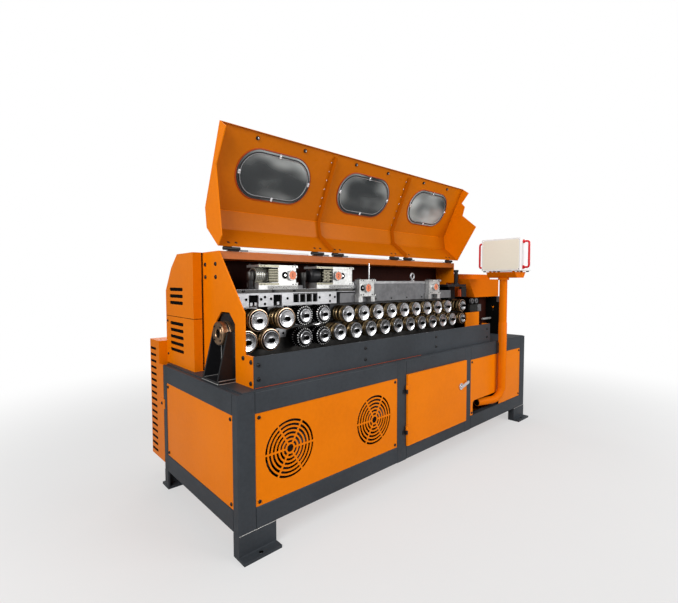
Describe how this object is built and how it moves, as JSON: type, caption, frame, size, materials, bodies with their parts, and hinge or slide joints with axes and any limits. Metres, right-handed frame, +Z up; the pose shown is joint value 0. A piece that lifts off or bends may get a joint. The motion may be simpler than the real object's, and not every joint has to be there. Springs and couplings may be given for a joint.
{
  "type": "steel bar straightening machine",
  "caption": "Floor-standing bar straightener with a steel cabinet base, two rows of grooved rollers, a lifting windowed hood, an exit cutter and a control box on a bent pipe.",
  "frame": {"origin": "on the floor under the middle of the base cabinet, at the centre of the floor bolts", "axes": "+X from bar entry to bar exit, +Y from the front to the back, +Z up"},
  "size_m": [2.88, 1.3835, 2.019],
  "materials": {
    "slate_paint": "satin",
    "orange_paint": "gloss",
    "maroon_paint": "satin",
    "black_steel": "satin",
    "bright_steel": "polished",
    "roller_steel": "turned",
    "machined_steel": "milled",
    "cast_grey": "painted casting",
    "jack_aluminium": "cast",
    "clear_pane": "clear",
    "beige_enamel": "satin",
    "red_plastic": "gloss"
  },
  "bodies": {
    "machine": {"frame_posts": "slate_paint", "frame_rails": "slate_paint", "feet": "slate_paint", "table_plate": "slate_paint", "vent_panel": "orange_paint", "closing_panels": "orange_paint", "door_hinges": "black_steel", "side_plates": "orange_paint", "apron_plate": "slate_paint", "top_beam": "orange_paint", "rear_wall": "maroon_paint", "roller_bed": "cast_grey", "upper_bridge": "machined_steel", "press_beam": "cast_grey", "screw_jacks": "jack_aluminium", "cutter_body": "cast_grey", "cutter_hood": "orange_paint", "entry_guide": "black_steel", "drive_cover": "orange_paint", "rear_louvre_box": "orange_paint", "hood_hinges_fixed": "black_steel", "control_post": "orange_paint", "control_tray": "orange_paint", "control_box": "beige_enamel", "control_handles": "red_plastic"},
    "hood": {"hood_shell": "orange_paint", "hood_windows": "clear_pane", "hood_formers": "orange_paint", "hood_hinges_moving": "black_steel"},
    "door": {"cabinet_door": "orange_paint"},
    "latch": {"door_latch": "bright_steel"},
    "lower_feed_roller_1_body": {"lower_feed_roller_1": "roller_steel"},
    "lower_feed_roller_2_body": {"lower_feed_roller_2": "roller_steel"},
    "upper_feed_roller_1_body": {"upper_feed_roller_1": "roller_steel"},
    "upper_feed_roller_2_body": {"upper_feed_roller_2": "roller_steel"},
    "lower_toothed_roller_1_body": {"lower_toothed_roller_1": "black_steel"},
    "upper_toothed_roller_1_body": {"upper_toothed_roller_1": "black_steel"},
    "lower_toothed_roller_2_body": {"lower_toothed_roller_2": "black_steel"},
    "upper_toothed_roller_2_body": {"upper_toothed_roller_2": "black_steel"},
    "lower_roller_01_body": {"lower_roller_01": "roller_steel"},
    "lower_roller_02_body": {"lower_roller_02": "roller_steel"},
    "lower_roller_03_body": {"lower_roller_03": "roller_steel"},
    "lower_roller_04_body": {"lower_roller_04": "roller_steel"},
    "lower_roller_05_body": {"lower_roller_05": "roller_steel"},
    "lower_roller_06_body": {"lower_roller_06": "roller_steel"},
    "lower_roller_07_body": {"lower_roller_07": "roller_steel"},
    "lower_roller_08_body": {"lower_roller_08": "roller_steel"},
    "lower_roller_09_body": {"lower_roller_09": "roller_steel"},
    "lower_roller_10_body": {"lower_roller_10": "roller_steel"},
    "upper_roller_01_body": {"upper_roller_01": "roller_steel"},
    "upper_roller_02_body": {"upper_roller_02": "roller_steel"},
    "upper_roller_03_body": {"upper_roller_03": "roller_steel"},
    "upper_roller_04_body": {"upper_roller_04": "roller_steel"},
    "upper_roller_05_body": {"upper_roller_05": "roller_steel"},
    "upper_roller_06_body": {"upper_roller_06": "roller_steel"},
    "upper_roller_07_body": {"upper_roller_07": "roller_steel"},
    "upper_roller_08_body": {"upper_roller_08": "roller_steel"},
    "upper_roller_09_body": {"upper_roller_09": "roller_steel"},
    "lower_exit_roller_body": {"lower_exit_roller": "roller_steel"},
    "upper_exit_roller_body": {"upper_exit_roller": "roller_steel"}
  },
  "joints": [
    {"name": "hood_hinge", "type": "hinge", "parent": "machine", "child": "hood", "pos_m": [0, -0.098, 1.403], "axis": [1, 0, 0], "range_deg": [0, 140]},
    {"name": "door_hinge", "type": "hinge", "parent": "machine", "child": "door", "pos_m": [-0.28112, -0.463, 0.42], "axis": [0, 0, -1], "range_deg": [0, 110]},
    {"name": "latch_turn", "type": "hinge", "parent": "door", "child": "latch", "pos_m": [0.33989, -0.4633, 0.47116], "axis": [0, 1, 0], "range_deg": [0, 90]},
    {"name": "lower_feed_roller_1_spin", "type": "hinge", "parent": "machine", "child": "lower_feed_roller_1_body", "pos_m": [-1.242, -0.151, 0.9235], "axis": [0, 1, 0], "continuous": true},
    {"name": "lower_feed_roller_2_spin", "type": "hinge", "parent": "machine", "child": "lower_feed_roller_2_body", "pos_m": [-1.102, -0.151, 0.9235], "axis": [0, 1, 0], "continuous": true},
    {"name": "upper_feed_roller_1_spin", "type": "hinge", "parent": "machine", "child": "upper_feed_roller_1_body", "pos_m": [-1.1734, -0.151, 1.0305], "axis": [0, 1, 0], "continuous": true},
    {"name": "upper_feed_roller_2_spin", "type": "hinge", "parent": "machine", "child": "upper_feed_roller_2_body", "pos_m": [-1.0004, -0.151, 1.0305], "axis": [0, 1, 0], "continuous": true},
    {"name": "lower_toothed_roller_1_spin", "type": "hinge", "parent": "machine", "child": "lower_toothed_roller_1_body", "pos_m": [-0.8704, -0.151, 0.914], "axis": [0, 1, 0], "continuous": true},
    {"name": "upper_toothed_roller_1_spin", "type": "hinge", "parent": "machine", "child": "upper_toothed_roller_1_body", "pos_m": [-0.8704, -0.151, 1.04], "axis": [0, 1, 0], "continuous": true},
    {"name": "lower_toothed_roller_2_spin", "type": "hinge", "parent": "machine", "child": "lower_toothed_roller_2_body", "pos_m": [-0.7304, -0.151, 0.914], "axis": [0, 1, 0], "continuous": true},
    {"name": "upper_toothed_roller_2_spin", "type": "hinge", "parent": "machine", "child": "upper_toothed_roller_2_body", "pos_m": [-0.7304, -0.151, 1.04], "axis": [0, 1, 0], "continuous": true},
    {"name": "lower_roller_01_spin", "type": "hinge", "parent": "machine", "child": "lower_roller_01_body", "pos_m": [-0.6044, -0.151, 0.9235], "axis": [0, 1, 0], "continuous": true},
    {"name": "lower_roller_02_spin", "type": "hinge", "parent": "machine", "child": "lower_roller_02_body", "pos_m": [-0.4659, -0.151, 0.9235], "axis": [0, 1, 0], "continuous": true},
    {"name": "lower_roller_03_spin", "type": "hinge", "parent": "machine", "child": "lower_roller_03_body", "pos_m": [-0.3274, -0.151, 0.9235], "axis": [0, 1, 0], "continuous": true},
    {"name": "lower_roller_04_spin", "type": "hinge", "parent": "machine", "child": "lower_roller_04_body", "pos_m": [-0.1889, -0.151, 0.9235], "axis": [0, 1, 0], "continuous": true},
    {"name": "lower_roller_05_spin", "type": "hinge", "parent": "machine", "child": "lower_roller_05_body", "pos_m": [-0.0504, -0.151, 0.9235], "axis": [0, 1, 0], "continuous": true},
    {"name": "lower_roller_06_spin", "type": "hinge", "parent": "machine", "child": "lower_roller_06_body", "pos_m": [0.0881, -0.151, 0.9235], "axis": [0, 1, 0], "continuous": true},
    {"name": "lower_roller_07_spin", "type": "hinge", "parent": "machine", "child": "lower_roller_07_body", "pos_m": [0.2266, -0.151, 0.9235], "axis": [0, 1, 0], "continuous": true},
    {"name": "lower_roller_08_spin", "type": "hinge", "parent": "machine", "child": "lower_roller_08_body", "pos_m": [0.3651, -0.151, 0.9235], "axis": [0, 1, 0], "continuous": true},
    {"name": "lower_roller_09_spin", "type": "hinge", "parent": "machine", "child": "lower_roller_09_body", "pos_m": [0.5036, -0.151, 0.9235], "axis": [0, 1, 0], "continuous": true},
    {"name": "lower_roller_10_spin", "type": "hinge", "parent": "machine", "child": "lower_roller_10_body", "pos_m": [0.6421, -0.151, 0.9235], "axis": [0, 1, 0], "continuous": true},
    {"name": "upper_roller_01_spin", "type": "hinge", "parent": "machine", "child": "upper_roller_01_body", "pos_m": [-0.53515, -0.151, 1.0305], "axis": [0, 1, 0], "continuous": true},
    {"name": "upper_roller_02_spin", "type": "hinge", "parent": "machine", "child": "upper_roller_02_body", "pos_m": [-0.39665, -0.151, 1.0305], "axis": [0, 1, 0], "continuous": true},
    {"name": "upper_roller_03_spin", "type": "hinge", "parent": "machine", "child": "upper_roller_03_body", "pos_m": [-0.25815, -0.151, 1.0305], "axis": [0, 1, 0], "continuous": true},
    {"name": "upper_roller_04_spin", "type": "hinge", "parent": "machine", "child": "upper_roller_04_body", "pos_m": [-0.11965, -0.151, 1.0305], "axis": [0, 1, 0], "continuous": true},
    {"name": "upper_roller_05_spin", "type": "hinge", "parent": "machine", "child": "upper_roller_05_body", "pos_m": [0.01885, -0.151, 1.0305], "axis": [0, 1, 0], "continuous": true},
    {"name": "upper_roller_06_spin", "type": "hinge", "parent": "machine", "child": "upper_roller_06_body", "pos_m": [0.15735, -0.151, 1.0305], "axis": [0, 1, 0], "continuous": true},
    {"name": "upper_roller_07_spin", "type": "hinge", "parent": "machine", "child": "upper_roller_07_body", "pos_m": [0.29585, -0.151, 1.0305], "axis": [0, 1, 0], "continuous": true},
    {"name": "upper_roller_08_spin", "type": "hinge", "parent": "machine", "child": "upper_roller_08_body", "pos_m": [0.43435, -0.151, 1.0305], "axis": [0, 1, 0], "continuous": true},
    {"name": "upper_roller_09_spin", "type": "hinge", "parent": "machine", "child": "upper_roller_09_body", "pos_m": [0.57285, -0.151, 1.0305], "axis": [0, 1, 0], "continuous": true},
    {"name": "lower_exit_roller_spin", "type": "hinge", "parent": "machine", "child": "lower_exit_roller_body", "pos_m": [0.7986, -0.151, 0.9235], "axis": [0, 1, 0], "continuous": true},
    {"name": "upper_exit_roller_spin", "type": "hinge", "parent": "machine", "child": "upper_exit_roller_body", "pos_m": [0.7986, -0.151, 1.0305], "axis": [0, 1, 0], "continuous": true}
  ],
  "couplings": [
    {"joint": "lower_feed_roller_2_spin", "follows": "lower_feed_roller_1_spin", "ratio": 1},
    {"joint": "upper_feed_roller_1_spin", "follows": "lower_feed_roller_1_spin", "ratio": -1},
    {"joint": "upper_feed_roller_2_spin", "follows": "lower_feed_roller_1_spin", "ratio": -1},
    {"joint": "lower_toothed_roller_1_spin", "follows": "lower_feed_roller_1_spin", "ratio": 1.0727},
    {"joint": "upper_toothed_roller_1_spin", "follows": "lower_feed_roller_1_spin", "ratio": -1.0727},
    {"joint": "lower_toothed_roller_2_spin", "follows": "lower_feed_roller_1_spin", "ratio": 1.0727},
    {"joint": "upper_toothed_roller_2_spin", "follows": "lower_feed_roller_1_spin", "ratio": -1.0727},
    {"joint": "lower_roller_01_spin", "follows": "lower_feed_roller_1_spin", "ratio": 1.1238},
    {"joint": "lower_roller_02_spin", "follows": "lower_feed_roller_1_spin", "ratio": 1.1238},
    {"joint": "lower_roller_03_spin", "follows": "lower_feed_roller_1_spin", "ratio": 1.1238},
    {"joint": "lower_roller_04_spin", "follows": "lower_feed_roller_1_spin", "ratio": 1.1238},
    {"joint": "lower_roller_05_spin", "follows": "lower_feed_roller_1_spin", "ratio": 1.1238},
    {"joint": "lower_roller_06_spin", "follows": "lower_feed_roller_1_spin", "ratio": 1.1238},
    {"joint": "lower_roller_07_spin", "follows": "lower_feed_roller_1_spin", "ratio": 1.1238},
    {"joint": "lower_roller_08_spin", "follows": "lower_feed_roller_1_spin", "ratio": 1.1238},
    {"joint": "lower_roller_09_spin", "follows": "lower_feed_roller_1_spin", "ratio": 1.1238},
    {"joint": "lower_roller_10_spin", "follows": "lower_feed_roller_1_spin", "ratio": 1.1238},
    {"joint": "upper_roller_01_spin", "follows": "lower_feed_roller_1_spin", "ratio": -1.1238},
    {"joint": "upper_roller_02_spin", "follows": "lower_feed_roller_1_spin", "ratio": -1.1238},
    {"joint": "upper_roller_03_spin", "follows": "lower_feed_roller_1_spin", "ratio": -1.1238},
    {"joint": "upper_roller_04_spin", "follows": "lower_feed_roller_1_spin", "ratio": -1.1238},
    {"joint": "upper_roller_05_spin", "follows": "lower_feed_roller_1_spin", "ratio": -1.1238},
    {"joint": "upper_roller_06_spin", "follows": "lower_feed_roller_1_spin", "ratio": -1.1238},
    {"joint": "upper_roller_07_spin", "follows": "lower_feed_roller_1_spin", "ratio": -1.1238},
    {"joint": "upper_roller_08_spin", "follows": "lower_feed_roller_1_spin", "ratio": -1.1238},
    {"joint": "upper_roller_09_spin", "follows": "lower_feed_roller_1_spin", "ratio": -1.1238},
    {"joint": "lower_exit_roller_spin", "follows": "lower_feed_roller_1_spin", "ratio": 1.3111},
    {"joint": "upper_exit_roller_spin", "follows": "lower_feed_roller_1_spin", "ratio": -1.1569}
  ]
}
